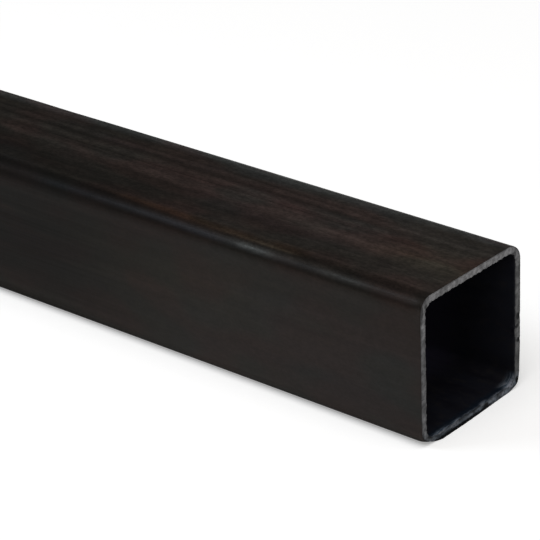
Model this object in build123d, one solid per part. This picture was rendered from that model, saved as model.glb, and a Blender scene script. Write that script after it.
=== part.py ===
from build123d import *

import os

# Square steel tube, 40 x 40 mm with a 2 mm wall, sold sawn to one metre.
#
# The tube is one piece: a steel strip rolled into a square and welded into a closed section, so its
# wall has one thickness all the way round, and each corner is a bend with the same inside radius.
# Both ends are sawn square to its length.
#
# It lies on one of its flat sides along X. The origin is the middle of the side that it lies on,
# with +Z up. All sizes are in millimetres.

# Driving dimensions
side = 40.0  # outside width, and height, of the square section
wall = 2.0  # thickness of the rolled strip
inside_radius = 2.8  # inside of each corner, as the rolls bend it
length = 1000.0  # from one sawn end to the other

# Sizes that follow from them
outside_radius = inside_radius + wall  # the strip keeps its thickness round the bend
hollow_side = side - 2 * wall  # width of the square hollow


def tube_section():
    """The square ring that the strip is rolled into, on a plane square to the length."""
    ring_plane = Plane.YZ.offset(-length / 2)
    outline = RectangleRounded(side, side, outside_radius)
    hollow = RectangleRounded(hollow_side, hollow_side, inside_radius)
    return ring_plane * (outline - hollow)


def square_tube():
    """The section run from end to end, then lifted so that its lower side lies on Z = 0."""
    tube = extrude(tube_section(), amount=length)
    return Pos(0, 0, side / 2) * tube


os.makedirs("parts", exist_ok=True)
export_step(square_tube(), "parts/square_tube.step")
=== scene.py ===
# %% [markdown]
# # A square steel tube
#
# The object is raw stock: one metre of square steel tube, 40 mm over its sides, as a steel merchant
# sells it. A strip of steel was rolled into a square and its edges were welded shut, so the tube is
# one piece. It has three finishes: the dark skin that the rolling mill left, the darker inside,
# and the bare grey metal where a saw cut each end.
#
# The CAD model already holds the size and the section. This lesson loads it as a fixed frame and
# makes one finished mesh round the same numbers.

# %% Load the measured tube
import math

import bpy
from mathutils import Matrix, Vector, noise


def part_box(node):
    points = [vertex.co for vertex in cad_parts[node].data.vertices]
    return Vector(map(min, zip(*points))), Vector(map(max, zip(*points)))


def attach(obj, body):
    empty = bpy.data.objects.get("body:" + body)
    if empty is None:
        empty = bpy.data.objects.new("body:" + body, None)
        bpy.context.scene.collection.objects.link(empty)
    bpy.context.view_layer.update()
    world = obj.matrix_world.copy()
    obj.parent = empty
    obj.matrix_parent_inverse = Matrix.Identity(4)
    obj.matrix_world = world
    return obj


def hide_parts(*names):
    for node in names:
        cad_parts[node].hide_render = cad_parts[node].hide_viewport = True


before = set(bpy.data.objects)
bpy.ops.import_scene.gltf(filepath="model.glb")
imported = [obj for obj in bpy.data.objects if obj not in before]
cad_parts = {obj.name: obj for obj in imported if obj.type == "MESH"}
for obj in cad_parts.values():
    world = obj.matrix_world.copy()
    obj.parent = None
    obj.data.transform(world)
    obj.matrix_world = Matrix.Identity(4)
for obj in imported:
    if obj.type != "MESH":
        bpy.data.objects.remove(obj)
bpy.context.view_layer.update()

# %% [markdown]
# ## Reading the sizes
#
# Every size could be typed in again, but then the finished tube would not follow the CAD model when
# that changes. So the length, the side, the wall and the corner radius are measured on the CAD
# mesh. The corner radius is what the top flat lacks to reach the full width. The wall is what
# lies between the top flat and the flat below it, which is the roof of the hollow.

# %% Measure length, side, corner radius and wall
MM = 0.001
touch = 0.01 * MM

low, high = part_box("square_tube")
length = high.x - low.x
side = high.z - low.z
centre_z = (low.z + high.z) / 2

cad_points = [v.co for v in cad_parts["square_tube"].data.vertices]
flat_half = max(p.y for p in cad_points if high.z - p.z < touch)
outer_radius = high.y - flat_half
roof_z = max(p.z for p in cad_points if abs(p.y) < flat_half + touch and high.z - p.z > touch)
wall = high.z - roof_z
inner_radius = outer_radius - wall
print(f"length {length:.3f} m, side {side / MM:.1f} mm, wall {wall / MM:.1f} mm, "
      f"corner radius {outer_radius / MM:.1f} mm outside and {inner_radius / MM:.1f} mm inside")

# %% [markdown]
# ## The section as a path
#
# A rounded square is a smaller square with a margin of one radius all the way round. So each point
# of the section is kept as a spot on that inner square and a direction that points outwards. A
# short step along the direction gives the hollow, and a longer one gives the outside. The two
# outlines then have the same number of points, one in front of the other, and are easy to join.
#
# The list starts in the middle of the side that the tube lies on and runs up the back, over the top
# and down the front. Each point also keeps its way round the section so far. A knock or a streak is
# placed by that number, as with a tape measure wrapped round the tube.

# %% Make the section path
QUARTER_TURN = math.radians(90)
corner_way = QUARTER_TURN * outer_radius  # the way round one corner
side_way = 2 * flat_half + corner_way  # from one corner to the next
perimeter = 4 * side_way

FLAT_STEPS = 30
CORNER_STEPS = 10
FINER = 3  # the sawn ends have three times as many points round the section


def section_path(flat_steps, corner_steps):
    """Points of the section: spot y, spot z, outward y, outward z, way round."""
    path = []
    for quarter in range(4):
        facing = math.radians(90 * quarter - 90)
        out = Vector((math.cos(facing), math.sin(facing)))
        along = Vector((-out.y, out.x))
        way = quarter * side_way - flat_half
        for step in range(flat_steps):
            gone = 2 * flat_half * step / flat_steps
            spot = out * flat_half + along * (gone - flat_half)
            path.append((spot.x, spot.y, out.x, out.y, way + gone))
        corner = (out + along) * flat_half
        for step in range(corner_steps):
            turned = QUARTER_TURN * step / corner_steps
            path.append((corner.x, corner.y, math.cos(facing + turned), math.sin(facing + turned),
                         way + 2 * flat_half + outer_radius * turned))
    half_flat = flat_steps // 2
    last_half = [point[:4] + (point[4] + perimeter,) for point in path[:half_flat]]
    return path[half_flat:] + last_half


fine_path = section_path(FLAT_STEPS * FINER, CORNER_STEPS * FINER)
coarse_path = fine_path[::FINER]
print(len(coarse_path), "points round the tube,", len(fine_path), "round each sawn end,",
      f"{perimeter / MM:.1f} mm round")

# %% [markdown]
# ## A rolled skin is never quite flat
#
# The rolls leave long, shallow waves of a few hundredths of a millimetre, and handling leaves
# knocks on the corners. Both could be bump in the material, but a knock on a corner changes the
# outline and the way the highlight runs, so they are real moves of the mesh. The waves come from
# smooth noise, stretched along the tube. Each knock is a shallow dish with a place, a size and
# a depth. The deepest ones sit on the ends: a corner that somebody's file or the floor has blunted,
# and small chips that broke out of the sharp edge. A knock with a negative depth stands out:
# it is the burr that the saw pushed up on the top front corner.

# %% Places round the section
BACK_LOWER_CORNER = flat_half + corner_way / 2
BACK_TOP_CORNER = BACK_LOWER_CORNER + side_way
FRONT_TOP_CORNER = BACK_TOP_CORNER + side_way
FRONT_LOWER_CORNER = FRONT_TOP_CORNER + side_way
BOTTOM_MIDDLE = 0.0
BACK_MIDDLE = side_way
TOP_MIDDLE = 2 * side_way
FRONT_MIDDLE = 3 * side_way
print("a line on the section is one of these ways round, such as the top middle at",
      round(TOP_MIDDLE / MM, 1), "mm")

# %% Waves and knocks in the skin
WAVE_DEPTH = 0.05 * MM
WAVE_ALONG = 90 * MM  # from one wave to the next, along the tube
WAVE_ACROSS = 12 * MM

# x of the middle in metres and a line on the section, then in millimetres: how far past the line,
# half length, half width, depth (negative where it stands out)
knock_sizes = [
    (high.x, FRONT_LOWER_CORNER, 1.9, 1.3, 2.2, 0.65),
    (high.x, FRONT_TOP_CORNER, 0.2, 1.5, 2.4, -0.36),
    (high.x, BACK_MIDDLE, -0.2, 0.5, 0.8, 0.16),
    (high.x, BACK_MIDDLE, -2.9, 0.3, 0.4, 0.10),
    (high.x, BACK_MIDDLE, -6.7, 0.3, 0.4, 0.14),
    (low.x + 1.0 * MM, FRONT_TOP_CORNER, -1.4, 1.2, 2.0, 0.35),
    (low.x, FRONT_MIDDLE, 5.1, 0.4, 0.6, 0.16),
    (low.x, TOP_MIDDLE, -7.8, 0.3, 0.5, 0.12),
    (high.x - 51.0 * MM, FRONT_TOP_CORNER, 0.0, 7.0, 2.3, 0.10),
    (high.x - 22.0 * MM, FRONT_TOP_CORNER, 0.0, 5.0, 2.3, 0.05),
    (0.271, FRONT_TOP_CORNER, 0.0, 9.0, 2.4, 0.09),
    (0.036, FRONT_TOP_CORNER, 0.0, 6.0, 2.2, 0.12),
    (-0.215, FRONT_TOP_CORNER, 0.0, 11.0, 2.5, 0.08),
    (-0.402, FRONT_TOP_CORNER, 0.0, 6.0, 2.3, 0.10),
    (0.352, BACK_TOP_CORNER, 0.0, 8.0, 2.4, 0.09),
    (-0.093, BACK_TOP_CORNER, 0.0, 12.0, 2.5, 0.11),
    (-0.331, BACK_TOP_CORNER, 0.0, 6.0, 2.2, 0.07),
    (0.187, FRONT_LOWER_CORNER, 0.0, 8.0, 2.4, 0.08),
    (-0.268, FRONT_LOWER_CORNER, 0.0, 7.0, 2.3, 0.10),
    (0.095, BACK_LOWER_CORNER, 0.0, 9.0, 2.4, 0.08),
]
knocks = [(x, line + past * MM, half_length * MM, half_width * MM, depth * MM)
          for x, line, past, half_length, half_width, depth in knock_sizes]


def skin_move(x, point):
    """How far the skin lies inside its nominal place, in metres, at one point of the section."""
    y, z, out_y, out_z, way = point
    at = Vector((x / WAVE_ALONG, (y + out_y * outer_radius) / WAVE_ACROSS,
                 (z + out_z * outer_radius) / WAVE_ACROSS))
    depth = WAVE_DEPTH * (0.5 - 0.5 * noise.noise(at))
    for middle, knock_way, half_length, half_width, knock_depth in knocks:
        along = (x - middle) / half_length
        across = (way - knock_way) / half_width
        depth += knock_depth * math.exp(-along * along - across * across)
    return depth


print(len(knocks), "knocks, the deepest", max(knock[-1] for knock in knocks) / MM, "mm")

# %% [markdown]
# ## Rows of points
#
# The mesh is one closed band: out along the skin from one end to the other, over the sawn face,
# back through the hollow, and over the other sawn face to the start. It is laid as rows of points,
# and each pair of neighbouring rows is joined by faces. A row on the skin or in the hollow has the
# coarse path, and a row on a sawn end the fine one, so that its ragged edge has somewhere to go.
#
# The stations along the tube stand closer together towards the ends, where someone looks closest.

# %% Stations along the tube
SKIN_STATIONS = 200
BORE_STATIONS = 48
END_BAND = 0.9 * MM  # the last strip at each end, which has the fine path


def stations(count):
    """Places along X, close together at the ends: a sine eases into each end."""
    reach = length / 2 - END_BAND
    return [reach * math.sin(math.pi / 2 * (2 * step / count - 1)) for step in range(count + 1)]


skin_stations = stations(SKIN_STATIONS)
bore_stations = stations(BORE_STATIONS)
middle_step = skin_stations[SKIN_STATIONS // 2 + 1] - skin_stations[SKIN_STATIONS // 2]
print(f"skin steps from {(skin_stations[1] - skin_stations[0]) / MM:.2f} to {middle_step / MM:.2f} mm")

# %% [markdown]
# ## What a saw leaves
#
# A saw cut is not a clean plane. The outer edge is broken a little, the face carries the marks of
# the teeth, and the inner edge is torn. Where the blade leaves the cut, along the bottom and the
# back, the teeth also push a thin lip of metal past the face. The outline of all that, cut
# through the wall, is a short list of steps from the skin to the hollow. Each step has a distance
# back from the end, a distance in from the skin, a share of the raggedness along the tube and
# across the wall, a share of the lip and the finish of the strip that follows it.
#
# A lip has an end of the tube, a start and a stop from a line on the section, the lengths over which
# it rises and falls, and a height.

# %% The profile of a sawn end
SKIN, SAWN, BORE = 0, 1, 2  # material slots

PROFILE_WALL = 2.0  # the profile is drawn for this wall and stretched to the measured one

# in millimetres: back from the end, in from the skin; then how ragged along X, how ragged across
# the wall, share of the lip, finish
sawn_profile = [
    (END_BAND / MM, 0.00, 0.0, 0.0, 0.0, SKIN),
    (0.45, 0.00, 0.0, 0.0, 0.0, SKIN),
    (0.12, 0.01, 0.2, 0.2, 0.7, SKIN),
    (0.05, 0.04, 0.3, 0.5, 1.0, SAWN),
    (0.02, 0.14, 0.3, 0.4, 0.9, SAWN),
    (0.02, 0.50, 0.3, 0.2, 0.1, SAWN),
    (0.02, 0.95, 0.3, 0.0, 0.0, SAWN),
    (0.02, 1.40, 0.3, 0.2, 0.0, SAWN),
    (0.03, 1.72, 0.4, 1.6, 0.0, SAWN),
    (0.06, 1.89, 0.7, 2.8, 0.0, BORE),
    (0.16, 1.98, 1.0, 2.8, 0.0, BORE),
    (0.36, 2.01, 1.0, 2.0, 0.0, BORE),
    (0.60, 2.01, 0.6, 1.0, 0.0, BORE),
    (END_BAND / MM, PROFILE_WALL, 0.0, 0.0, 0.0, BORE),
]
RAGGED = 0.11 * MM
RAGGED_STEP = 1.1 * MM  # from one tear to the next
SMALL_TEARS = 2.7  # how many small tears there are to a large one
SMALL_DEPTH = 0.6  # how deep a small tear is next to a large one
OUTER_SHARE = 0.35  # how ragged the outer edge is next to the inner edge
FACE_SHARE = 0.4  # how ragged the face is along X next to the inner edge
DRAG = 0.045 * MM  # how far the blade, coming down, drags the inner edge of the top wall
TOOTH_MARK = 0.012 * MM
TOOTH_PITCH = 0.55 * MM
LIP_SWING = 0.12  # how much higher and lower a lip gets along its length, as a share
TEAR_SEED, FLAKE_SEED, LIP_SEED, SMALL_SEED = 3.1, 11.7, 19.3, 7.3  # where each looks in the noise

# end and a line on the section, then in millimetres: start and stop past the line, rise, fall, height
lips = [
    (+1, BOTTOM_MIDDLE, -15.5, 18.0, 3.5, 24.0, 0.56),
    (+1, BACK_LOWER_CORNER, -2.4, 2.8, 3.0, 3.0, 0.34),
    (+1, BACK_MIDDLE, -16.0, 24.0, 10.0, 6.0, 0.17),
    (-1, BOTTOM_MIDDLE, -9.0, 15.0, 14.0, 3.0, 0.45),
    (-1, BACK_LOWER_CORNER, -1.5, 2.5, 2.0, 2.0, 0.35),
    (-1, BACK_MIDDLE, -6.0, 14.0, 9.0, 5.0, 0.20),
]


def eased(share):
    """From none to one, slow at both ends."""
    share = min(max(share, 0.0), 1.0)
    return share * share * (3 - 2 * share)


def raggedness(y, z, seed):
    """Smooth noise of two sizes, about -1 to 1, that differs for each seed."""
    y, z = y / RAGGED_STEP, z / RAGGED_STEP
    large = noise.noise(Vector((y, z, seed)))
    small = noise.noise(Vector((y * SMALL_TEARS, z * SMALL_TEARS, seed + SMALL_SEED)))
    return large + SMALL_DEPTH * small


def lip_height(end, y, z, way):
    """How far the lip stands out past the sawn face."""
    if way > perimeter / 2:
        way -= perimeter
    height = 0.0
    for lip_end, line, start, stop, rise, fall, tallest in lips:
        past = (way - line) / MM
        if lip_end == end:
            height = max(height, tallest * eased((past - start) / rise) * eased((stop - past) / fall))
    return height * MM * (1 + LIP_SWING * raggedness(y, z, LIP_SEED * end))


def sawn_row(end, step):
    """One row of a sawn end. end is +1 or -1, and step is a row of sawn_profile."""
    back, depth, rough_x, rough_wall, lip_share, _ = step
    from_middle = length / 2 - back * MM
    row = []
    for point in fine_path:
        y, z, out_y, out_z, way = point
        edge_y, edge_z = y + out_y * outer_radius, z + out_z * outer_radius
        worn = skin_move(end * from_middle, point)
        inside = worn + depth / PROFILE_WALL * (wall - worn)
        edge_share = 1 if depth > PROFILE_WALL / 2 else OUTER_SHARE
        torn = raggedness(edge_y, edge_z, TEAR_SEED * end) * edge_share
        flaked = raggedness(edge_y, edge_z, FLAKE_SEED * end)
        reach = outer_radius - inside - rough_wall * (RAGGED * torn + DRAG * max(out_z, 0.0))
        tooth = TOOTH_MARK * math.sin(edge_z / TOOTH_PITCH * math.tau) * rough_x
        lip = lip_share * lip_height(end, edge_y, edge_z, way)
        flake = RAGGED * FACE_SHARE * rough_x * (0.5 + 0.5 * flaked)
        x = end * (from_middle - flake - tooth + lip)
        row.append((x, y + out_y * reach, centre_z + z + out_z * reach))
    return row


print(len(lips), "lips, saw marks every", TOOTH_PITCH / MM, "mm")

# %% [markdown]
# ## Closing the band
#
# Two rows of the same kind are joined by four-sided faces. Where a coarse row meets a fine one,
# each coarse step faces three fine steps, so a fan of three triangles and one more closes
# the gap. The mesh stays watertight, which a printer or a physics engine needs.
#
# The same loop writes the texture map. It is laid out as four strips, one for each part of the band,
# because a tube unrolls without any stretch. Blender could unwrap it by itself, but it
# would cut the long streaks into pieces. It also writes the way round on each corner of
# each face, in metres, for the materials to read.

# %% Tools that lay rows
strips = {  # lower and upper edge of each strip in the texture map
    "skin": (0.00, 0.64),
    "bore": (0.65, 0.77),
    "saw +X": (0.78, 0.88),
    "saw -X": (0.89, 0.99),
}

points = []
rows = []  # first point, point count, strip, finish of the faces to the next row, place in the strip


def lay_row(row, strip, finish, place):
    """Adds one row to the band."""
    rows.append((len(points), len(row), strip, finish, place))
    points.extend(row)


def body_row(x, radius, moved):
    """A coarse row square to the tube. moved gives it the waves and knocks of the skin."""
    row = []
    for point in coarse_path:
        y, z, out_y, out_z, _ = point
        reach = radius - (skin_move(x, point) if moved else 0.0)
        row.append((x, y + out_y * reach, centre_z + z + out_z * reach))
    return row


print(len(strips), "strips in the texture map")

# %% Lay the rows
profile_way = [0.0]  # how far along the profile each of its steps lies
for step, next_step in zip(sawn_profile, sawn_profile[1:]):
    profile_way.append(profile_way[-1] + math.hypot(next_step[0] - step[0], next_step[1] - step[1]))
profile_place = [way / profile_way[-1] for way in profile_way]
profile_finish = [step[-1] for step in sawn_profile]

for x in skin_stations[:-1]:
    lay_row(body_row(x, outer_radius, moved=True), "skin", SKIN, x / length + 0.5)
for step, finish, place in zip(sawn_profile, profile_finish, profile_place):
    lay_row(sawn_row(+1, step), "saw +X", finish, place)
for x in reversed(bore_stations[1:-1]):
    lay_row(body_row(x, inner_radius, moved=False), "bore", BORE, x / length + 0.5)
# taken backwards, a strip of faces comes before its step, so each finish moves up by one
backwards = zip(reversed(sawn_profile), reversed([SKIN] + profile_finish[:-1]), reversed(profile_place))
for step, finish, place in backwards:
    lay_row(sawn_row(-1, step), "saw -X", finish, place)
print(len(rows), "rows,", len(points), "points")

# %% Tools that add faces
faces = []
face_finishes = []
face_spots = []  # for each corner of each face, its place in the texture map
face_ways = []  # for each corner of each face, its way round the section


def map_spot(strip, place, share):
    """A spot in the texture map: place runs along the strip and share runs round the section."""
    bottom, top = strips[strip]
    if strip.startswith("saw"):
        return share, bottom + (top - bottom) * place
    return place, bottom + (top - bottom) * share


def add_face(corners, strip, finish):
    """corners are (point, place along the strip, share of the way round the section)."""
    faces.append([point for point, _, _ in corners])
    face_finishes.append(finish)
    face_spots.append([map_spot(strip, place, share) for _, place, share in corners])
    face_ways.append([share * perimeter for _, _, share in corners])


print("each corner of a face gets a place in the texture map and a way round")


# %% Join the rows with faces
def join_rows(row, next_row):
    """Closes the gap between two rows. Between two strips it belongs to the skin or the hollow."""
    start, count, strip, finish, place = row
    next_start, next_count, next_strip, next_finish, next_place = next_row
    if strip != next_strip and strip.startswith("saw"):
        strip, finish, place = next_strip, next_finish, round(next_place)
    elif strip != next_strip:
        next_place = round(place)

    def near(step):
        return start + step % count, place, step / count

    def far(step):
        return next_start + step % next_count, next_place, step / next_count

    for step in range(max(count, next_count)):
        if count == next_count:
            add_face([near(step), near(step + 1), far(step + 1), far(step)], strip, finish)
            continue
        coarse = step // FINER
        last_of_three = step % FINER == FINER - 1
        if count < next_count:
            add_face([near(coarse), far(step + 1), far(step)], strip, finish)
            if last_of_three:
                add_face([near(coarse), near(coarse + 1), far(step + 1)], strip, finish)
        else:
            add_face([near(step), near(step + 1), far(coarse)], strip, finish)
            if last_of_three:
                add_face([near(step + 1), far(coarse + 1), far(coarse)], strip, finish)


for row, next_row in zip(rows, rows[1:] + rows[:1]):
    join_rows(row, next_row)
print(len(faces), "faces")

# %% Make the mesh object
tube_mesh = bpy.data.meshes.new("rolled_tube")
tube_mesh.from_pydata(points, [], faces)
tube_mesh.polygons.foreach_set("material_index", face_finishes)
tube_mesh.polygons.foreach_set("use_smooth", [True] * len(faces))
map_layer = tube_mesh.uv_layers.new(name="OFBake")
map_layer.data.foreach_set("uv", [number for spots in face_spots for spot in spots for number in spot])
way_layer = tube_mesh.attributes.new("way_round", "FLOAT", "CORNER")
way_layer.data.foreach_set("value", [way for ways in face_ways for way in ways])
tube_mesh.update()

tube = bpy.data.objects.new("rolled_tube", tube_mesh)
bpy.context.scene.collection.objects.link(tube)
print("triangles:", sum(len(face) - 2 for face in faces))

# %% [markdown]
# ## Small tools for materials
#
# A material is a graph of nodes. Writing each node by hand takes five lines, so these helpers take
# one line each: a sum, a noise, a smooth step between two values, a ridge, a mix of two colours and
# a colour that noise makes darker and lighter.

# %% Helpers that make nodes
NOISE_SPAN = (0.30, 0.70)  # nearly all values of a noise lie between these
TIGHT_SPAN = (0.32, 0.68)  # gives a little more contrast
SHIFT_SHARES = (1.0, 0.37, 0.71)  # how far a shift moves a noise along X, Y and Z
COLOUR_FACTOR, FIRST_COLOUR, SECOND_COLOUR, MIXED_COLOUR = 0, 6, 7, 2  # sockets of the mix node


def add_node(tree, kind, **settings):
    node = tree.nodes.new(kind)
    for name, value in settings.items():
        setattr(node, name, value)
    return node


def feed(tree, socket, value):
    """Links value to the socket if it is an output, and otherwise writes it there."""
    if isinstance(value, bpy.types.NodeSocket):
        tree.links.new(value, socket)
    else:
        socket.default_value = value


def arithmetic(tree, operation, first, second=0.0, third=0.0):
    """One sum of up to three values or outputs."""
    node = add_node(tree, "ShaderNodeMath", operation=operation)
    for socket, value in zip(node.inputs, (first, second, third)):
        feed(tree, socket, value)
    return node.outputs["Value"]


def product(tree, *factors):
    """All the factors multiplied."""
    result = factors[0]
    for factor in factors[1:]:
        result = arithmetic(tree, "MULTIPLY", result, factor)
    return result


def smooth_step(tree, value, start, end, low_value=0.0, high_value=1.0):
    """Goes smoothly from low_value to high_value while value goes from start to end."""
    node = add_node(tree, "ShaderNodeMapRange", interpolation_type="SMOOTHSTEP")
    for socket, number in zip(node.inputs, (value, start, end, low_value, high_value)):
        feed(tree, socket, number)
    return node.outputs["Result"]


def ridge(tree, value, middle, half_width):
    """One where value is at the middle, falling smoothly to none a half width away."""
    distance = arithmetic(tree, "ABSOLUTE", arithmetic(tree, "SUBTRACT", value, middle))
    return smooth_step(tree, distance, half_width, 0.0)


def noise_of(tree, place, grain, detail=3.0, roughness=0.55, shift=0.0):
    """Noise whose grains have the size that grain gives, in metres along X, Y and Z."""
    mapping = add_node(tree, "ShaderNodeMapping")
    feed(tree, mapping.inputs["Vector"], place)
    mapping.inputs["Scale"].default_value = [1 / size for size in grain]
    mapping.inputs["Location"].default_value = [shift * share for share in SHIFT_SHARES]
    texture = add_node(tree, "ShaderNodeTexNoise", noise_dimensions="3D")
    feed(tree, texture.inputs["Vector"], mapping.outputs["Vector"])
    texture.inputs["Scale"].default_value = 1.0
    texture.inputs["Detail"].default_value = detail
    texture.inputs["Roughness"].default_value = roughness
    return texture.outputs["Fac"]


def mix_colours(tree, factor, first, second, blend="MIX"):
    """The first colour, with the second laid over it as strongly as factor says."""
    node = add_node(tree, "ShaderNodeMix", data_type="RGBA", blend_type=blend)
    feed(tree, node.inputs[COLOUR_FACTOR], factor)
    feed(tree, node.inputs[FIRST_COLOUR], first)
    feed(tree, node.inputs[SECOND_COLOUR], second)
    return node.outputs[MIXED_COLOUR]


def shaded(tree, colour, factor):
    """The colour times a grey factor or a tint."""
    return mix_colours(tree, 1.0, colour, factor, blend="MULTIPLY")


def varied(tree, colour, noise_value, swing):
    """The colour made darker and lighter by noise, by up to the share that swing gives."""
    wave = smooth_step(tree, noise_value, *TIGHT_SPAN, -1.0, 1.0)
    return shaded(tree, colour, arithmetic(tree, "MULTIPLY_ADD", wave, swing, 1.0))


def bump_of(tree, height, distance, under=None):
    """A normal tilted by height, on top of another bump's normal where one is given."""
    node = add_node(tree, "ShaderNodeBump")
    feed(tree, node.inputs["Height"], height)
    node.inputs["Distance"].default_value = distance
    if under is not None:
        feed(tree, node.inputs["Normal"], under)
    return node.outputs["Normal"]


def coordinates(tree, place):
    """The X, Y and Z of a place, each as an output."""
    node = add_node(tree, "ShaderNodeSeparateXYZ")
    feed(tree, node.inputs["Vector"], place)
    return node.outputs["X"], node.outputs["Y"], node.outputs["Z"]


def steel_material(name, metallic, specular):
    """Its node tree, its shader and the place on the tube, in metres."""
    material = bpy.data.materials.new(name)
    material.use_nodes = True
    tree = material.node_tree
    shader = tree.nodes["Principled BSDF"]
    shader.inputs["Metallic"].default_value = metallic
    shader.inputs["Specular IOR Level"].default_value = specular
    tube_mesh.materials.append(material)
    return tree, shader, add_node(tree, "ShaderNodeTexCoord").outputs["Object"]


print("helpers ready")

# %% [markdown]
# ## The rolled skin
#
# Hot steel grows a skin of blue-black scale, and the rolls drag it into streaks along the tube.
# Scale is an oxide: it hardly shines, so the shader is not metallic and its mirror part is
# weak. One layer of noise would look the same everywhere, so the colour is laid in layers: a dark
# ground with broad bands and clouds, then streaks listed one by one, then the spots that were
# rubbed, and last the fine streaks, hairs and grains, which only darken and lighten.
#
# Three coordinates carry them all: how far behind the +X end a point is, how far round the
# section, and the plain place in space for the noise.

# %% Coordinates of the skin
WANDER = 1.2 * MM  # streaks drift this far sideways, so that none is ruled

tree, shader, place = steel_material("mill_scale", metallic=0.0, specular=0.08)
along_tube, _, _ = coordinates(tree, place)
behind = arithmetic(tree, "SUBTRACT", high.x, along_tube)
way_round = add_node(tree, "ShaderNodeAttribute", attribute_name="way_round").outputs["Fac"]

wander_noise = noise_of(tree, place, (0.045, 0.030, 0.030), detail=2.0, shift=2.0)
drift = arithmetic(tree, "MULTIPLY_ADD", wander_noise, WANDER, -WANDER / 2)
streak_way = arithmetic(tree, "ADD", way_round, drift)


def patch(line, past, half_width, stretch, ease):
    """A long mark past a line on the section, eased in and out over a stretch. In millimetres."""
    start, stop = stretch
    return product(tree, ridge(tree, streak_way, line + past * MM, half_width * MM),
                   smooth_step(tree, behind, start * MM, (start + ease) * MM),
                   smooth_step(tree, behind, stop * MM, (stop - ease) * MM))


print("skin coordinates in metres")

# %% Ground colours of the skin
BLACK = (0.0030, 0.0024, 0.0020, 1)
DARK = (0.0125, 0.0096, 0.0078, 1)
BROWN = (0.0170, 0.0132, 0.0108, 1)
BEIGE = (0.0300, 0.0236, 0.0203, 1)
REDDISH = (0.0320, 0.0195, 0.0175, 1)
PLUM = (0.0240, 0.0178, 0.0184, 1)
RUST = (0.0350, 0.0250, 0.0180, 1)
UMBER = (0.0200, 0.0150, 0.0085, 1)
SANDY = (0.0350, 0.0255, 0.0165, 1)
FOXY = (0.0300, 0.0130, 0.0060, 1)
GREY = (0.0260, 0.0245, 0.0225, 1)
PALE_GREY = (0.0360, 0.0345, 0.0330, 1)
BLUISH = (0.0150, 0.0160, 0.0185, 1)
SLATE = (0.0080, 0.0110, 0.0150, 1)
COOL_GREY = (0.0190, 0.0196, 0.0202, 1)
print("the palest skin colour is", max(PALE_GREY[:3]), "and the darkest", min(BLACK[:3]))

# %% Ground layers of the skin
QUIET = 0.40  # how strong the marks are on the sides, next to one on the top
CLOUD_STRENGTH = 0.40
REDDISH_CLOUDS, BLUISH_CLOUDS = (0.52, 0.72), (0.46, 0.28)  # noise from none to full

broad = noise_of(tree, place, (0.150, 0.010, 0.010), detail=1.0)
clouds = noise_of(tree, place, (0.045, 0.010, 0.010), detail=1.0, shift=15.0)
from_top = arithmetic(tree, "ABSOLUTE", arithmetic(tree, "SUBTRACT", way_round, TOP_MIDDLE))
lively = smooth_step(tree, from_top, flat_half + 1.2 * corner_way, flat_half, QUIET, 1.0)

colour = mix_colours(tree, smooth_step(tree, broad, *NOISE_SPAN), DARK, BROWN)
reddened = product(tree, smooth_step(tree, clouds, *REDDISH_CLOUDS, 0.0, CLOUD_STRENGTH), lively)
colour = mix_colours(tree, reddened, colour, REDDISH)
blued = product(tree, smooth_step(tree, clouds, *BLUISH_CLOUDS, 0.0, CLOUD_STRENGTH), lively)
colour = mix_colours(tree, blued, colour, BLUISH)
print("ground layers: broad bands, reddish and bluish clouds")

# %% [markdown]
# ## Streaks listed one by one
#
# The welded seam and the rolls mark the tube in places that noise would never choose: a pale band
# along the top where the weld was scarfed flat, thin dark lines at its sides, and thin rust beside
# the front corner. Other streaks are painted light: dark lines beside the highlight on the top front
# corner are painted reflection, the bluish band on that highlight is a painted highlight, both lower
# corners carry painted shade, the back edge of the top carries a painted sheen, and the skin is
# darker behind the +X end as painted shade where the light falls off. Further along, the scale lies
# darker over long stretches of the tube. Each streak has a place on the section, a half width, a
# start and a stop behind the +X end, an easing length, a colour and a strength. A lengthwise noise
# breaks it up, so that it fades and comes back.

# %% The listed streaks
WHOLE = (-20, length / MM + 20)

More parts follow.
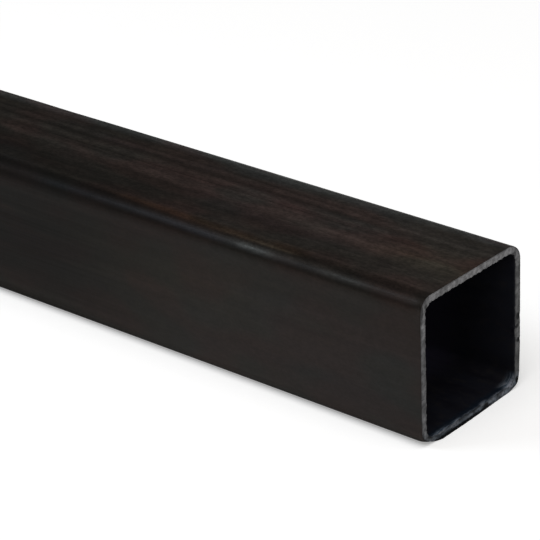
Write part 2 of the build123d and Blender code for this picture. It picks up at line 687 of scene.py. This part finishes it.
# a line on the section; in millimetres: how far past it, half width, (start, stop) behind the
# +X end, easing; then colour and strength
top_edge = FRONT_TOP_CORNER - corner_way / 2 - 2 * flat_half  # where the top flat starts, at the back
streaks_by_hand = [
    (FRONT_MIDDLE, 0.0, 26.0, WHOLE, 10, GREY, 0.16),
    (top_edge, 3.5, 2.4, (20, 110), 30, GREY, 0.30),
    (TOP_MIDDLE, 1.0, 17.0, (-20, 95), 30, PLUM, 0.40),
    (top_edge, 5.0, 1.2, (-20, 75), 30, BEIGE, 0.35),
    (top_edge, 7.0, 1.6, WHOLE, 30, BEIGE, 0.65),
    (top_edge, 10.9, 2.0, WHOLE, 40, BEIGE, 0.60),
    (top_edge, 12.7, 3.0, (-20, 100), 30, REDDISH, 0.60),
    (top_edge, 15.0, 3.4, (-20, 95), 30, BEIGE, 0.75),
    (top_edge, 18.0, 4.0, (-20, 80), 30, BEIGE, 0.85),
    (top_edge, 20.0, 3.4, (-20, 60), 40, BEIGE, 0.60),
    (top_edge, 15.8, 4.2, (60, 330), 40, BEIGE, 0.75),
    (TOP_MIDDLE, 4.5, 16.0, (-20, 24), 20, BEIGE, 0.85),
    (TOP_MIDDLE, 1.5, 11.0, (-20, 36), 22, SANDY, 0.50),
    (top_edge, 5.6, 0.5, (57, 150), 10, DARK, 0.80),
    (top_edge, 8.6, 1.1, WHOLE, 10, DARK, 0.75),
    (top_edge, 12.9, 0.5, (10, 150), 10, DARK, 0.50),
    (top_edge, 25.5, 5.5, WHOLE, 30, DARK, 0.60),
    # painted shade: darker where the light falls off behind the +X end
    (top_edge, 23.5, 7.5, (80, 330), 40, BLACK, 0.40),
    # painted reflection: dark lines above and below the highlight on the top front corner
    (FRONT_TOP_CORNER, -2.1, 2.4, WHOLE, 10, BLACK, 0.68),
    (FRONT_TOP_CORNER, 1.6, 1.6, WHOLE, 10, BLACK, 0.60),
    (FRONT_TOP_CORNER, -4.3, 1.3, (-20, 40), 15, DARK, 0.50),
    (FRONT_TOP_CORNER, -2.7, 1.3, (37, 58), 8, RUST, 0.75),
    (FRONT_TOP_CORNER, -3.1, 1.5, (48, 72), 9, RUST, 0.60),
    (FRONT_TOP_CORNER, -3.4, 1.4, (56, 110), 20, RUST, 0.60),
    (FRONT_TOP_CORNER, -4.2, 2.8, (34, 52), 7, FOXY, 0.42),
    (FRONT_TOP_CORNER, -3.6, 2.8, (46, 102), 12, FOXY, 0.36),
    # painted reflection: the same dark lines further along the tube
    (FRONT_TOP_CORNER, -1.4, 3.2, (75, 330), 30, BLACK, 0.72),
    (FRONT_TOP_CORNER, 2.6, 3.8, (70, 330), 30, BLACK, 0.65),
    # painted highlight: a bluish and a slate tint on the corner's highlight
    (FRONT_TOP_CORNER, 0.6, 1.7, (10, 100), 40, BLUISH, 0.20),
    (FRONT_TOP_CORNER, 0.3, 1.8, (56, 130), 12, SLATE, 0.60),
    # painted reflection: dark streaks that narrow and dim the corner's highlight
    (FRONT_TOP_CORNER, -1.2, 1.2, (-20, 34), 12, BLACK, 0.45),
    (FRONT_TOP_CORNER, 0.2, 1.5, (-20, 46), 10, BLACK, 0.40),
    (FRONT_TOP_CORNER, 0.2, 1.5, (27, 45), 8, BLACK, 0.30),
    (FRONT_TOP_CORNER, -0.4, 1.4, (72, 330), 20, BLACK, 0.30),
    (FRONT_MIDDLE, -10.5, 9.0, WHOLE, 30, DARK, 0.45),
    # painted shade: darker where the light falls off behind the +X end
    (FRONT_MIDDLE, -11.0, 8.0, (64, 330), 24, BLACK, 0.34),
    (FRONT_MIDDLE, -8.5, 4.5, (106, 134), 12, REDDISH, 0.15),
    (FRONT_LOWER_CORNER, -4.8, 1.6, (-20, 10), 5, BLACK, 0.35),
    # painted shade along both lower corners, next to the floor
    (FRONT_LOWER_CORNER, 1.5, 4.6, WHOLE, 10, BLACK, 0.80),
    (BACK_LOWER_CORNER, -1.5, 4.6, WHOLE, 10, BLACK, 0.80),
    (FRONT_MIDDLE, 1.0, 18.0, (60, 330), 40, UMBER, 0.40),
    (FRONT_MIDDLE, -4.5, 12.0, (40, 125), 22, UMBER, 0.32),
    (FRONT_MIDDLE, 9.0, 12.0, (-20, 60), 35, COOL_GREY, 0.32),
    # painted shade: the light falls off behind the +X end; the stretches after these two are darker
    # scale
    (TOP_MIDDLE, 0.0, 30.0, (30, 330), 110, BLACK, 0.40),
    (FRONT_MIDDLE, 0.0, 34.0, (50, 400), 80, BLACK, 0.92),
    (FRONT_MIDDLE, 0.0, 34.0, (250, 1100), 150, BLACK, 0.50),
    (FRONT_MIDDLE, 0.0, 34.0, (580, 860), 120, BLACK, 0.45),
    (BACK_MIDDLE, 0.0, 34.0, (160, 520), 160, BLACK, 0.45),
    (BACK_MIDDLE, 0.0, 34.0, (660, 1100), 140, BLACK, 0.35),
    (TOP_MIDDLE, 0.0, 30.0, (250, 1100), 150, BLACK, 0.30),
    # painted sheen: the back edge of the top is lighter, as its grazing reflection
    (top_edge, 0.0, 3.6, WHOLE, 10, PALE_GREY, 0.55),
    (top_edge, 0.0, 3.6, (10, 330), 60, PALE_GREY, 0.70),
]
print(len(streaks_by_hand), "streaks by hand")

# %% Lay the streaks over the ground
BREAK_NOISE, WEAKEST = (0.28, 0.52), 0.60  # a broken streak keeps this share of its strength

patchy_noise = noise_of(tree, place, (0.060, 0.0030, 0.0030), detail=2.0, shift=33.0)
patchy = smooth_step(tree, patchy_noise, *BREAK_NOISE, WEAKEST, 1.0)
for line, past, half_width, stretch, ease, streak_colour, strength in streaks_by_hand:
    streak = product(tree, patch(line, past, half_width, stretch, ease), patchy, strength)
    colour = mix_colours(tree, streak, colour, streak_colour)
print(len(streaks_by_hand), "streaks laid")

# %% [markdown]
# ## Where the skin is rubbed
#
# Tubes slide over each other in the rack, and the front corner on top has been rubbed until some
# bare steel shines through. Bare steel is the one part of the skin that is metal, so the same
# mask raises the metallic share, lowers the roughness and lightens the colour. The lower corners
# are the opposite: they were dragged over floors until they were scuffed dull, so they get
# rougher. That keeps them from mirroring a pale floor as a bright line.

# %% Burnished spots on the corner
BARE = (0.060, 0.058, 0.056, 1)
RUB_EASE = 9  # millimetres
SPECKLE_NOISE, WEAKEST_SPECKLE = (0.30, 0.55), 0.45

# a line on the section; in millimetres: how far past it, half width, (start, stop) behind the
# +X end; then strength
rubbed_spots = [
    (FRONT_TOP_CORNER, 0.1, 2.0, (43, 62), 0.47),
    (FRONT_TOP_CORNER, 0.3, 1.5, (12, 34), 0.18),
    (FRONT_TOP_CORNER, 0.0, 1.6, (205, 245), 0.55),
    (FRONT_TOP_CORNER, 0.0, 1.5, (452, 478), 0.65),
    (FRONT_TOP_CORNER, 0.0, 1.6, (690, 740), 0.45),
    (BACK_TOP_CORNER, 0.0, 1.6, (135, 165), 0.60),
    (BACK_TOP_CORNER, 0.0, 1.6, (570, 620), 0.60),
]
speckle_noise = noise_of(tree, place, (0.003, 0.0012, 0.0012), detail=2.0, shift=41.0)
speckle = smooth_step(tree, speckle_noise, *SPECKLE_NOISE, WEAKEST_SPECKLE, 1.0)
rubbed = 0.0
for line, past, half_width, stretch, strength in rubbed_spots:
    spot = product(tree, patch(line, past, half_width, stretch, RUB_EASE), speckle, strength)
    rubbed = arithmetic(tree, "MAXIMUM", rubbed, spot)

colour = mix_colours(tree, rubbed, colour, BARE)
feed(tree, shader.inputs["Metallic"], rubbed)
print(len(rubbed_spots), "rubbed spots")

# %% Grain of the skin
WARM_TINT, COOL_TINT = (1.10, 0.962, 0.980, 1), (0.91, 1.018, 1.030, 1)
TINT_NOISE = (0.36, 0.64)
# how much each darkens and lightens the colour
STREAK_SWING, HAIR_SWING, MOTTLE_SWING, GRAIN_SWING = 0.17, 0.07, 0.18, 0.22

streaks = noise_of(tree, place, (0.140, 0.0022, 0.0022), detail=3.0, shift=4.0)
hairs = noise_of(tree, place, (0.050, 0.0005, 0.0005), detail=2.0, shift=9.0)
mottle = noise_of(tree, place, (0.0050, 0.0028, 0.0028), detail=3.0, shift=27.0)
grains = noise_of(tree, place, (0.0010, 0.0006, 0.0006), detail=2.0, shift=21.0)
tints = noise_of(tree, place, (0.0180, 0.0080, 0.0080), detail=0.0, shift=37.0)

colour = varied(tree, colour, streaks, product(tree, lively, STREAK_SWING))
colour = varied(tree, colour, hairs, product(tree, lively, HAIR_SWING))
colour = varied(tree, colour, mottle, product(tree, lively, MOTTLE_SWING))
colour = varied(tree, colour, grains, product(tree, lively, GRAIN_SWING))
tint = mix_colours(tree, smooth_step(tree, tints, *TINT_NOISE), WARM_TINT, COOL_TINT)
feed(tree, shader.inputs["Base Color"], shaded(tree, colour, tint))
print("streaks, hairs, mottle, grains and tints")

# %% Roughness and relief of the skin
SCALE_ROUGHNESS = (0.36, 0.46)
RUBBED_ROUGHNESS = 0.30
DULLER = 0.14  # how much rougher the dull stretch is
SCUFFED = 0.45  # how much rougher the lower corners are
DULL_START, DULL_STOP = (0.070, 0.130), (0.330, 0.220)  # each from none to full, behind the +X end
HAIR_DEPTH, GRAIN_DEPTH = 0.010 * MM, 0.006 * MM

dull_stretch = product(tree, smooth_step(tree, behind, *DULL_START),
                       smooth_step(tree, behind, *DULL_STOP))
top_to_low_corner = FRONT_LOWER_CORNER - TOP_MIDDLE
low_corner = smooth_step(tree, from_top, top_to_low_corner - 0.8 * corner_way, top_to_low_corner)
scale_roughness = arithmetic(tree, "MULTIPLY_ADD", dull_stretch, DULLER,
                             smooth_step(tree, hairs, *NOISE_SPAN, *SCALE_ROUGHNESS))
scale_roughness = arithmetic(tree, "MULTIPLY_ADD", low_corner, SCUFFED, scale_roughness)
feed(tree, shader.inputs["Roughness"],
     arithmetic(tree, "MULTIPLY_ADD", rubbed, RUBBED_ROUGHNESS - SCALE_ROUGHNESS[0], scale_roughness))
hair_relief = bump_of(tree, hairs, HAIR_DEPTH)
feed(tree, shader.inputs["Normal"], bump_of(tree, grains, GRAIN_DEPTH, under=hair_relief))
print("skin nodes:", len(tree.nodes))

# %% [markdown]
# ## The sawn face
#
# Bare steel is lighter than its scale, and here it really is metal. The cut is not one even grey.
# The top wall is lightest, and the ring is darker lower down and at the back, which is painted
# shade; the bottom wall is also bluer. Its lip is black, partly with scale and partly with painted
# contact shade, and everywhere dark grit lies in the marks that the teeth left. A few painted
# glints and dark pits, some of them painted shade, are listed one by one, because the largest ones
# are what the eye finds first.
#
# How deep a point lies in from the skin is worked out like the section itself: it is the radius
# less the distance to the smaller square that the section is drawn round.

# %% Places on the sawn face
CUT_METAL = 0.8
WALL_FADE = 4 * MM  # over which one wall of the ring turns into the next

tree, shader, place = steel_material("sawn_steel", metallic=CUT_METAL, specular=0.06)
_, across, height = coordinates(tree, place)
low_wall = smooth_step(tree, height, low.z + wall + WALL_FADE, low.z + wall)
top_wall = smooth_step(tree, height, high.z - 1.5 * wall - WALL_FADE, high.z - 1.5 * wall)
back_wall = smooth_step(tree, across, high.y - wall - WALL_FADE, high.y - wall)


def past_square(tree, value, middle):
    """How far a coordinate lies past the side of the smaller square, or none if it is within."""
    off_middle = arithmetic(tree, "ABSOLUTE", arithmetic(tree, "SUBTRACT", value, middle))
    return arithmetic(tree, "MAXIMUM", arithmetic(tree, "SUBTRACT", off_middle, flat_half), 0.0)


past_y, past_z = past_square(tree, across, 0.0), past_square(tree, height, centre_z)
corner_distance = arithmetic(tree, "SQRT", arithmetic(
    tree, "ADD", product(tree, past_y, past_y), product(tree, past_z, past_z)))
depth_in = arithmetic(tree, "SUBTRACT", outer_radius, corner_distance)
print("depth in from the skin: 0 to", round(wall / MM, 1), "mm")

# %% Colour of the sawn face
# painted shade: the top wall is lightest, the front wall darker, the back wall darker still, and the
# bottom wall darkest and bluer
BRIGHT_CUT = (0.140, 0.138, 0.141, 1)
MIDDLE_CUT = (0.110, 0.110, 0.114, 1)
SHADED_BACK_CUT = (0.092, 0.092, 0.092, 1)
SHADED_BLUE_CUT = (0.058, 0.068, 0.081, 1)
BLUE_START = (-18.5 * MM, -14.0 * MM)  # Y at the front corner, where the blue sets in
BLUE_LEAST = 0.4  # how blue the front corner itself is

# painted shade at the bottom of the ring and at its top; then the top wall lighter at its front than at
# its back
HEIGHT_SHADE, TOP_SHADE = (0.84, 1.08), (1.16, 0.90)
# how much each darkens and lightens the colour
BLOTCH_SWING, TOOTH_SWING, QUIET_GRIT, LOUD_GRIT = 0.22, 0.10, 0.26, 0.55
blotches = noise_of(tree, place, (0.006, 0.0045, 0.0045), detail=2.0)
grit = noise_of(tree, place, (0.003, 0.0012, 0.0012), detail=2.0, shift=5.0)
teeth = noise_of(tree, place, (0.002, 0.0040, 0.00022), detail=2.0, shift=8.0)

colour = mix_colours(tree, back_wall, MIDDLE_CUT, SHADED_BACK_CUT)
height_shade = smooth_step(tree, height, low.z, high.z, *HEIGHT_SHADE)
colour = shaded(tree, colour, height_shade)
top_shade = smooth_step(tree, across, low.y, high.y, *TOP_SHADE)
colour = mix_colours(tree, top_wall, colour, shaded(tree, BRIGHT_CUT, top_shade))
blued = product(tree, low_wall, smooth_step(tree, across, *BLUE_START, BLUE_LEAST, 1.0))
colour = mix_colours(tree, blued, colour, SHADED_BLUE_CUT)
colour = varied(tree, colour, blotches, BLOTCH_SWING)
colour = varied(tree, colour, teeth, TOOTH_SWING)

loudness = arithmetic(tree, "MULTIPLY_ADD", low_wall, LOUD_GRIT - QUIET_GRIT, QUIET_GRIT)
colour = varied(tree, colour, grit, loudness)
print("sawn face: bright above, blue below")

# %% Shade through the wall, and the crust and painted shade on the lip
# from one depth to another the cut goes from one shade to another: darker at the outer edge, and painted
# shade next to the hollow
OUTER_EDGE = (0.0, 0.75 * MM, 0.64, 1.0)
INNER_EDGE = (1.1 * MM, 1.9 * MM, 1.0, 0.70)
LOW_INNER_EDGE = (0.9 * MM, 1.9 * MM, 0.92, 0.62)
# black for the lip along the bottom, partly scale and partly painted contact shade next to the floor;
# the pits use it too
CRUST_AND_SHADE = (0.0030, 0.0034, 0.0042, 1)
CRUST_AND_SHADE_LEAST, CRUST_AND_SHADE_RANGE = 0.02 * MM, 1.1 * MM  # it reaches this deep at least, and this much more
CRUST_AND_SHADE_EASE = (0.12 * MM, -0.10 * MM)
CRUST_AND_SHADE_STOP = (9 * MM, 7 * MM)  # Y where it ends

colour = shaded(tree, colour, smooth_step(tree, depth_in, *OUTER_EDGE))
inner_shade = smooth_step(tree, depth_in, *INNER_EDGE)
colour = mix_colours(tree, top_wall, shaded(tree, colour, inner_shade), colour)
low_shade = smooth_step(tree, depth_in, *LOW_INNER_EDGE)
colour = mix_colours(tree, low_wall, colour, shaded(tree, colour, low_shade))

crust_and_shade_noise = noise_of(tree, place, (0.004, 0.0016, 0.0016), detail=3.0, shift=12.0)
crust_and_shade_edge = arithmetic(tree, "MULTIPLY_ADD", crust_and_shade_noise, CRUST_AND_SHADE_RANGE, CRUST_AND_SHADE_LEAST)
crust_and_shade = smooth_step(tree, arithmetic(tree, "SUBTRACT", depth_in, crust_and_shade_edge), *CRUST_AND_SHADE_EASE)
crust_and_shade = product(tree, crust_and_shade, low_wall, smooth_step(tree, across, *CRUST_AND_SHADE_STOP))
print("darker at both edges of the wall, with a crust on the lip")

# %% Painted glints, and pits and painted shade in the sawn face
# painted highlights: glints painted into the colour of the cut
PAINTED_GLINT = (0.200, 0.208, 0.236, 1)
GLITTER_NOISE, DIMMEST_GLITTER = (0.34, 0.56), 0.25
SPOT_CORE = 0.3  # the share of a spot that is at full strength, by area

# in millimetres: y, z above the floor, half width, half height; then strength
painted_glints = [
    (-12.60, 2.0, 2.30, 0.75, 0.50),
    (-6.80, 1.3, 2.20, 0.70, 0.42),
    (-0.60, 0.9, 1.60, 0.45, 0.20),
    (4.60, 1.9, 1.30, 0.65, 0.45),
    (8.20, 1.2, 1.50, 0.60, 0.25),
    (12.30, 1.1, 1.30, 0.60, 0.55),
    (16.30, 1.8, 1.10, 0.80, 0.80),
    (17.00, 2.5, 0.90, 0.70, 0.70),
]
pits_and_shades = [
    (19.15, 19.8, 0.85, 1.20, 0.90),
    (18.80, 17.2, 0.75, 0.75, 0.90),
    (19.20, 13.3, 0.80, 0.85, 0.90),
    (19.20, 8.6, 1.00, 2.60, 0.30),
    (18.68, 2.4, 0.60, 1.10, 1.00),
    (-19.60, 35.0, 0.75, 2.20, 0.55),
    (-19.45, 36.4, 0.85, 2.40, 0.72),
    (-18.60, 36.8, 2.40, 3.20, 0.26),
    # these two are painted shade along the edge of the hollow at the top corners
    (-17.75, 36.5, 0.80, 2.20, 0.70),
    (17.45, 36.9, 1.20, 1.20, 0.55),
    (-19.50, 13.5, 1.00, 0.25, 0.45),
    (-18.20, 2.2, 2.00, 1.80, 0.35),
    (-16.70, 2.5, 1.30, 0.80, 0.90),
    (-9.80, 0.5, 2.20, 0.70, 0.60),
    (1.20, 1.9, 3.40, 0.70, 0.50),
    (5.90, 0.6, 1.30, 1.10, 1.00),
]


def spot_mask(spot):
    """Its strength in the middle of an oval spot, falling smoothly to none at its rim."""
    spot_y, spot_z, half_width, half_height = (size * MM for size in spot[:4])
    off_y = arithmetic(tree, "DIVIDE", arithmetic(tree, "SUBTRACT", across, spot_y), half_width)
    off_z = arithmetic(tree, "DIVIDE", arithmetic(tree, "SUBTRACT", height, low.z + spot_z), half_height)
    spread = arithmetic(tree, "ADD", product(tree, off_y, off_y), product(tree, off_z, off_z))
    return smooth_step(tree, spread, 1.0, SPOT_CORE, 0.0, spot[4])


glitter = smooth_step(tree, grit, *GLITTER_NOISE, DIMMEST_GLITTER, 1.0)
for painted_glint in painted_glints:
    colour = mix_colours(tree, product(tree, spot_mask(painted_glint), glitter), colour, PAINTED_GLINT)
pitted_and_shaded = crust_and_shade
for dark_spot in pits_and_shades:
    pitted_and_shaded = arithmetic(tree, "MAXIMUM", pitted_and_shaded, spot_mask(dark_spot))
feed(tree, shader.inputs["Base Color"], mix_colours(tree, pitted_and_shaded, colour, CRUST_AND_SHADE))
feed(tree, shader.inputs["Metallic"], smooth_step(tree, pitted_and_shaded, 0.0, 1.0, CUT_METAL, 0.0))
print(len(painted_glints), "glints and", len(pits_and_shades), "pits_and_shades")

# %% Roughness and relief of the sawn face
CUT_ROUGHNESS = (0.60, 0.45)
TOOTH_DEPTH, GRIT_DEPTH = 0.010 * MM, 0.025 * MM

feed(tree, shader.inputs["Roughness"], smooth_step(tree, grit, *NOISE_SPAN, *CUT_ROUGHNESS))
tooth_relief = bump_of(tree, teeth, TOOTH_DEPTH)
feed(tree, shader.inputs["Normal"], bump_of(tree, grit, GRIT_DEPTH, under=tooth_relief))
print("sawn nodes:", len(tree.nodes))

# %% [markdown]
# ## The hollow
#
# The inside was never rubbed or rolled smooth. It keeps a dull blue-black bloom and a little dust,
# so it is rougher and darker than the skin and has almost no streaks. Deeper in it turns lighter and
# more purple, partly with dust and partly with painted bounce light. Only the lower edge of each
# mouth is brighter: there the blade scraped short strokes of the floor bare, about a millimetre
# long and longer at the back, and a thin blue glow round them is painted light that falls in
# through the mouth.

# %% Scale, dust and painted bounce light in the hollow
BORE_DARK = (0.0034, 0.0032, 0.0054, 1)
BORE_BLUE = (0.0052, 0.0056, 0.0088, 1)
BORE_BROWN = (0.0090, 0.0078, 0.0080, 1)
# partly dust and partly painted bounce light: the hollow turns lighter and more purple deeper in
BORE_DUST_AND_BOUNCE = (0.0300, 0.0265, 0.0450, 1)
BROWN_NOISE, BROWN_STRENGTH = (0.52, 0.72), 0.5
DUST_AND_BOUNCE_DEPTHS = (14 * MM, 34 * MM)  # the dust sets in between these distances from the mouth

tree, shader, place = steel_material("bore_scale", metallic=0.0, specular=0.15)
along_tube, across, height = coordinates(tree, place)
inwards = arithmetic(tree, "SUBTRACT", high.x, arithmetic(tree, "ABSOLUTE", along_tube))

bloom = noise_of(tree, place, (0.030, 0.006, 0.006), detail=3.0)
dust = noise_of(tree, place, (0.003, 0.0015, 0.0015), detail=3.0, shift=6.0)
colour = mix_colours(tree, smooth_step(tree, bloom, *TIGHT_SPAN), BORE_DARK, BORE_BLUE)
browned = smooth_step(tree, dust, *BROWN_NOISE, 0.0, BROWN_STRENGTH)
colour = mix_colours(tree, browned, colour, BORE_BROWN)
colour = mix_colours(tree, smooth_step(tree, inwards, *DUST_AND_BOUNCE_DEPTHS), colour, BORE_DUST_AND_BOUNCE)
print("blue-black bloom, dusty from", round(DUST_AND_BOUNCE_DEPTHS[0] / MM), "mm inwards")

# %% Scraped strokes and painted glow at the mouth
# painted light: a blue glow on the floor just inside each mouth, where light falls in
MOUTH_GLOW = (0.0024, 0.0056, 0.0110, 1)
SCRAPED_BLUE = (0.085, 0.122, 0.165, 1)
SCRAPED_PALE = (0.200, 0.215, 0.250, 1)
SCRAPED_METAL = 0.4
FLOOR_FADE = (5.2 * MM, 3.6 * MM)  # heights between which the strokes set in
STROKE_FADE = (1.2, -0.2)  # a stroke goes from none to full between these shares of its reach
STROKE_NOISE, FAINTEST_STROKE = (0.36, 0.50), 0.35  # scratches break the strokes up
PALE_NOISE = (0.40, 0.60)
MOUTH_GLOW_FADE, MOUTH_GLOW_STRENGTH = (2.8 * MM, 0.6 * MM), 0.9

# in millimetres: y of the middle, half width, how far it reaches into the hollow; then strength
scrapes = [
    (-12.5, 5.0, 1.0, 1.00),
    (-6.5, 3.4, 0.8, 0.75),
    (-1.0, 5.0, 0.6, 0.35),
    (4.8, 2.4, 0.9, 0.70),
    (10.0, 4.0, 0.6, 0.45),
    (15.6, 3.6, 2.6, 1.00),
]

low_down = smooth_step(tree, height, *(low.z + limit for limit in FLOOR_FADE))
scratches = noise_of(tree, place, (0.0005, 0.0040, 0.0040), detail=2.0, shift=17.0)
scraped = 0.0
for middle, half_width, reach, strength in scrapes:
    faded = smooth_step(tree, inwards, *(reach * MM * share for share in STROKE_FADE))
    scrape = product(tree, ridge(tree, across, middle * MM, half_width * MM), faded, strength)
    scraped = arithmetic(tree, "MAXIMUM", scraped, scrape)
broken = smooth_step(tree, scratches, *STROKE_NOISE, FAINTEST_STROKE, 1.0)
scraped = product(tree, scraped, low_down, broken)
mouth_glow = product(tree, low_down, smooth_step(tree, inwards, *MOUTH_GLOW_FADE, 0.0, MOUTH_GLOW_STRENGTH))
colour = mix_colours(tree, mouth_glow, colour, MOUTH_GLOW)
bare = mix_colours(tree, smooth_step(tree, scratches, *PALE_NOISE), SCRAPED_BLUE, SCRAPED_PALE)
feed(tree, shader.inputs["Base Color"], mix_colours(tree, scraped, colour, bare))
feed(tree, shader.inputs["Metallic"], product(tree, scraped, SCRAPED_METAL))
print(len(scrapes), "scraped strokes at each mouth")

# %% Roughness and relief of the hollow
BORE_ROUGHNESS = (0.50, 0.62)
DUST_DEPTH = 0.03 * MM

feed(tree, shader.inputs["Roughness"], smooth_step(tree, dust, *NOISE_SPAN, *BORE_ROUGHNESS))
feed(tree, shader.inputs["Normal"], bump_of(tree, dust, DUST_DEPTH))
print("hollow nodes:", len(tree.nodes))

# %% The tube takes the CAD node's place
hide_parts("square_tube")
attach(tube, "root")

# %% [markdown]
# ## Floor, light and camera
#
# Dark steel shows what stands round it, so the stage matters as much as the material. The floor is
# white paper, which lights the side and the sawn end from below. One large soft box hangs
# overhead. A small one to the front left draws the bright line along the top corner.
# Everything else is left dim, so that the top stays dark.

# %% The floor
FLOOR_RADIUS = 30.0  # metres
FLOOR_SIDES = 64
rim = [(FLOOR_RADIUS * math.cos(math.tau * step / FLOOR_SIDES),
        FLOOR_RADIUS * math.sin(math.tau * step / FLOOR_SIDES), low.z) for step in range(FLOOR_SIDES)]
floor_mesh = bpy.data.meshes.new("floor")
floor_mesh.from_pydata(rim, [], [list(range(FLOOR_SIDES))])
floor = bpy.data.objects.new("floor", floor_mesh)
bpy.context.scene.collection.objects.link(floor)
print("floor radius", FLOOR_RADIUS, "m")

# %% White paper
PAPER = (0.80, 0.80, 0.80, 1)
GLOW_NEAR, GLOW_FAR = 0.33, 0.92  # how much white it adds near the tube and far from it
NEAR, FAR = 1.0, 4.0  # metres from the middle of the tube

paper = bpy.data.materials.new("white_paper")
paper.use_nodes = True
tree = paper.node_tree
tree.nodes.clear()
matt = add_node(tree, "ShaderNodeBsdfDiffuse")
matt.inputs["Color"].default_value = PAPER
floor_place = add_node(tree, "ShaderNodeTexCoord").outputs["Object"]
from_tube = add_node(tree, "ShaderNodeVectorMath", operation="LENGTH")
feed(tree, from_tube.inputs[0], floor_place)
strength = smooth_step(tree, from_tube.outputs["Value"], NEAR, FAR, GLOW_NEAR, GLOW_FAR)
seen_by = add_node(tree, "ShaderNodeLightPath")
seen = arithmetic(tree, "MAXIMUM", seen_by.outputs["Is Camera Ray"], seen_by.outputs["Is Glossy Ray"])
seen = arithmetic(tree, "MAXIMUM", seen, seen_by.outputs["Is Transmission Ray"])
glow = add_node(tree, "ShaderNodeEmission")
feed(tree, glow.inputs["Strength"], product(tree, seen, strength))
both = add_node(tree, "ShaderNodeAddShader")
feed(tree, both.inputs[0], matt.outputs["BSDF"])
feed(tree, both.inputs[1], glow.outputs["Emission"])
finish = add_node(tree, "ShaderNodeOutputMaterial")
feed(tree, finish.inputs["Surface"], both.outputs["Shader"])
floor_mesh.materials.append(paper)
print("paper glows from", GLOW_NEAR, "near the tube to", GLOW_FAR, "far from it")

# %% The room and the soft boxes
ROOM = (1.0, 0.98, 0.95, 1)
ROOM_STRENGTH = 0.12
world = bpy.data.worlds.new("studio")
bpy.context.scene.world = world
world.use_nodes = True
background = world.node_tree.nodes["Background"]
background.inputs["Color"].default_value = ROOM
background.inputs["Strength"].default_value = ROOM_STRENGTH

near_end = Vector((high.x, 0, centre_z))


def softbox(name, direction, distance, width, height, radiance, colour):
    """A rectangle of light that faces the +X end. radiance is how bright its face looks."""
    lamp = bpy.data.lights.new(name, "AREA")
    lamp.shape = "RECTANGLE"
    lamp.size = width
    lamp.size_y = height
    lamp.energy = radiance * math.pi * width * height
    lamp.color = colour
    holder = bpy.data.objects.new(name, lamp)
    direction = Vector(direction).normalized()
    holder.location = near_end + direction * distance
    holder.rotation_euler = direction.to_track_quat("Z", "Y").to_euler()
    holder.visible_camera = False
    bpy.context.scene.collection.objects.link(holder)


softbox("corner_box", direction=(-0.590, -0.490, 0.645), distance=1.3, width=0.46, height=0.34,
        radiance=6.6, colour=(0.88, 0.94, 1.0))
softbox("overhead_box", direction=(0.35, -0.35, 1.0), distance=2.8, width=3.2, height=3.2,
        radiance=2.6, colour=(1.0, 0.99, 0.98))
print("room and two soft boxes")

# %% The camera
CAMERA_OFFSET = Vector((0.32784, -0.44739, 0.29065))  # from the middle of the +X end
CAMERA_TURN = math.radians(41.15)
CAMERA_RISE = math.radians(25.91)
CAMERA_ROLL = math.radians(-2.45)
CAMERA_LENS, CAMERA_SENSOR = 173.52, 36.0  # millimetres, as on a real camera

camera_data = bpy.data.cameras.new("camera")
camera_data.sensor_width = CAMERA_SENSOR
camera_data.lens = CAMERA_LENS
camera = bpy.data.objects.new("camera", camera_data)
camera.matrix_world = (
    Matrix.Translation(near_end + CAMERA_OFFSET)
    @ Matrix.Rotation(CAMERA_TURN, 4, "Z")
    @ Matrix.Rotation(math.pi / 2 - CAMERA_RISE, 4, "X")
    @ Matrix.Rotation(CAMERA_ROLL, 4, "Z"))
bpy.context.scene.collection.objects.link(camera)
bpy.context.scene.camera = camera
bpy.context.scene.view_settings.view_transform = "Standard"
print("camera", round(CAMERA_OFFSET.length, 3), "m from the end")
